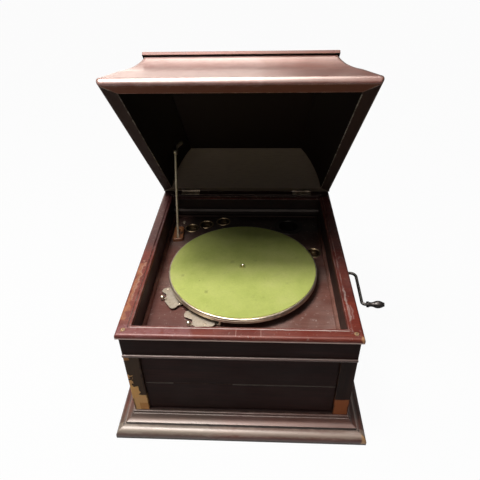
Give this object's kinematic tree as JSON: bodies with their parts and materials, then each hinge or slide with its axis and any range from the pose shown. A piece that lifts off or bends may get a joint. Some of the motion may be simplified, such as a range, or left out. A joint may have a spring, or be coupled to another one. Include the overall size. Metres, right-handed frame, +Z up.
{
  "type": "tabletop gramophone",
  "caption": "Tabletop gramophone in a dark mahogany case with an open coved lid, felted turntable, side crank and pivoting tone leaves over an inner horn",
  "frame": {"origin": "middle of the underside, on the floor plane", "axes": "+X to the crank side, +Y to the hinged back, +Z up, the front faces -Y"},
  "size_m": [0.5254, 0.5486, 0.6313],
  "materials": {
    "dark_mahogany": "aged dark red-brown varnish, satin",
    "worn_mahogany": "reddish varnish worn through at the edges",
    "inner_wood": "bare, unpolished",
    "nickel": "worn nickel plate",
    "green_felt": "faded green felt, lightly stained",
    "brown_guide": "orange-brown, satin",
    "black_iron": "black japan, satin",
    "black_wood": "ebonised, satin",
    "motor_steel": "plain steel, lightly oiled",
    "brass": "machined brass"
  },
  "bodies": {
    "cabinet": {"bottom_board": "inner_wood", "plinth_base_moulding": "dark_mahogany", "plinth_cove_moulding": "dark_mahogany", "side_wall_left": "dark_mahogany", "side_wall_right": "dark_mahogany", "back_wall": "dark_mahogany", "front_top_rail": "dark_mahogany", "front_bottom_rail": "dark_mahogany", "front_post_left": "dark_mahogany", "front_post_right": "dark_mahogany", "front_bead": "dark_mahogany", "top_rim_frame": "worn_mahogany", "motor_board": "dark_mahogany", "motor_board_cleats": "inner_wood", "motor_board_trim": "dark_mahogany", "back_ledge": "dark_mahogany", "horn": "inner_wood", "horn_elbow": "black_iron", "tone_arm_flange": "black_iron", "hinge_cabinet_leaves": "nickel", "stay_guide": "brown_guide", "needle_cups": "nickel", "speed_cover_plate": "nickel", "brake_cover_plate": "nickel", "crank_escutcheon": "black_iron", "motor_top_plate": "motor_steel", "motor_bottom_plate": "motor_steel", "motor_pillars": "motor_steel", "motor_bolts": "motor_steel", "motor_bearings": "motor_steel"},
    "lid": {"lid_front": "dark_mahogany", "lid_back": "dark_mahogany", "lid_left": "dark_mahogany", "lid_right": "dark_mahogany", "lid_top_panel": "dark_mahogany", "hinge_lid_leaves": "nickel", "stay_bracket": "nickel"},
    "stay": {"stay_rod": "nickel"},
    "turntable": {"turntable_platter": "nickel", "turntable_felt": "green_felt", "turntable_spindle": "nickel", "governor_wheel": "brass"},
    "lay_shaft": {"lay_shaft_gear": "brass"},
    "barrel": {"spring_barrel": "motor_steel", "mainspring": "motor_steel"},
    "governor": {"governor_shaft": "motor_steel", "governor_weights": "brass", "governor_disc": "brass"},
    "crank": {"winding_shaft": "motor_steel", "crank_rod": "black_iron", "crank_collar": "black_iron"},
    "grip": {"crank_grip": "black_wood"},
    "winding": {"winding_wheel": "motor_steel"},
    "pawl": {"ratchet_pawl": "motor_steel"},
    "brake": {"brake_lever": "nickel"},
    "speed": {"speed_lever": "nickel"},
    "upper_leaf": {"tone_leaf_upper": "dark_mahogany", "upper_leaf_pins": "motor_steel"},
    "lower_leaf": {"tone_leaf_lower": "dark_mahogany", "lower_leaf_pins": "motor_steel"}
  },
  "joints": [
    {"name": "lid_hinge", "type": "hinge", "parent": "cabinet", "child": "lid", "pos_m": [0, 0.2435, 0.2502], "axis": [1, 0, 0], "range_deg": [0, 47]},
    {"name": "stay_swing", "type": "hinge", "parent": "lid", "child": "stay", "pos_m": [-0.157, 0.18902, 0.37988], "axis": [1, 0, 0], "range_deg": [-21, 0.5]},
    {"name": "turntable_spin", "type": "hinge", "parent": "cabinet", "child": "turntable", "pos_m": [0, -0.018, 0.19], "axis": [0, 0, 1], "continuous": true},
    {"name": "lay_shaft_spin", "type": "hinge", "parent": "cabinet", "child": "lay_shaft", "pos_m": [0.03739, -0.02088, 0.14], "axis": [0, 0, 1], "continuous": true},
    {"name": "barrel_turn", "type": "hinge", "parent": "cabinet", "child": "barrel", "pos_m": [0.06, 0.0347, 0.13], "axis": [0, 0, 1], "continuous": true},
    {"name": "governor_spin", "type": "hinge", "parent": "cabinet", "child": "governor", "pos_m": [-0.06, -0.018, 0.1345], "axis": [1, 0, 0], "continuous": true},
    {"name": "crank_turn", "type": "hinge", "parent": "cabinet", "child": "crank", "pos_m": [0.204, 0.0347, 0.16], "axis": [1, 0, 0], "continuous": true},
    {"name": "grip_spin", "type": "hinge", "parent": "crank", "child": "grip", "pos_m": [0.275, -0.05515, 0.15103], "axis": [1, 0, 0], "continuous": true},
    {"name": "winding_turn", "type": "hinge", "parent": "cabinet", "child": "winding", "pos_m": [0.06, 0.0347, 0.15], "axis": [0, 0, 1], "continuous": true},
    {"name": "pawl_lift", "type": "hinge", "parent": "cabinet", "child": "pawl", "pos_m": [0.03, 0.0347, 0.147], "axis": [0, 0, 1], "range_deg": [0, 12], "stiffness_Nm_per_rad": 0.02},
    {"name": "brake_lever", "type": "hinge", "parent": "cabinet", "child": "brake", "pos_m": [-0.052, -0.152, 0.192], "axis": [0, 0, -1], "range_deg": [0, 7.5]},
    {"name": "speed_lever", "type": "hinge", "parent": "cabinet", "child": "speed", "pos_m": [-0.128, -0.084, 0.192], "axis": [0, 0, 1], "range_deg": [-3.5, 10]},
    {"name": "upper_leaf_turn", "type": "hinge", "parent": "cabinet", "child": "upper_leaf", "pos_m": [0, -0.2305, 0.15505], "axis": [1, 0, 0], "range_deg": [0, 80]},
    {"name": "lower_leaf_turn", "type": "hinge", "parent": "cabinet", "child": "lower_leaf", "pos_m": [0, -0.2305, 0.08195], "axis": [1, 0, 0], "range_deg": [0, 80]}
  ],
  "couplings": [
    {"joint": "stay_swing", "follows": "lid_hinge", "ratio": -0.43617},
    {"joint": "lay_shaft_spin", "follows": "turntable_spin", "ratio": -0.25},
    {"joint": "barrel_turn", "follows": "turntable_spin", "ratio": 0.0625},
    {"joint": "governor_spin", "follows": "turntable_spin", "ratio": -8},
    {"joint": "winding_turn", "follows": "crank_turn", "ratio": 0.25}
  ]
}
